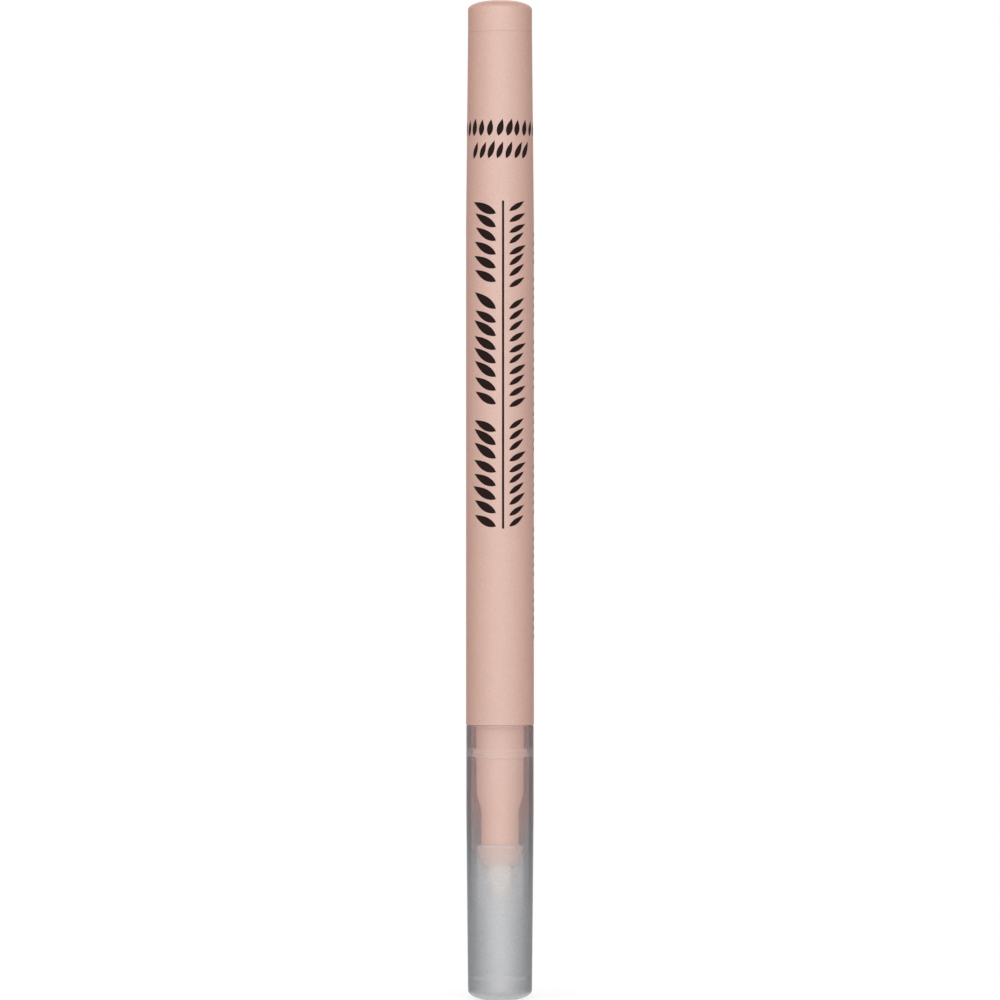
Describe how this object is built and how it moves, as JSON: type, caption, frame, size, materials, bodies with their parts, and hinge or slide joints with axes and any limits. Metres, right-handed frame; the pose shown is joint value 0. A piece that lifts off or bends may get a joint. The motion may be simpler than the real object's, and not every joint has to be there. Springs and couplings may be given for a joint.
{
  "type": "cuticle pen",
  "caption": "Slim fibre-tip cuticle pen with a rose barrel, a domed tail plug and a frosted push-on cap that seals the nib in an inner sleeve.",
  "frame": {"origin": "centre of the flat foot at the cap's closed end", "axes": "+Z along the pen's axis from the cap's closed end to the tail; the printed side faces -Y"},
  "size_m": [0.0094, 0.0094, 0.14],
  "materials": {
    "rose_plastic": "fine matte",
    "frosted_plastic": "frosted, translucent",
    "milky_plastic": "milky, translucent",
    "nib_fibre": "pressed felt",
    "reservoir_fibre": "bonded fibre",
    "wrap_film": "clear film",
    "printed_ink": "thin printed ink"
  },
  "bodies": {
    "cap": {"cap": "frosted_plastic", "inner_cap": "milky_plastic"},
    "pen": {"barrel": "rose_plastic", "end_plug": "rose_plastic", "reservoir": "reservoir_fibre", "reservoir_wrap": "wrap_film", "nib": "nib_fibre"}
  },
  "joints": [
    {"name": "pen_pull", "type": "slide", "parent": "cap", "child": "pen", "axis": [0, 0, 1], "range_m": [0, 0.04]}
  ]
}
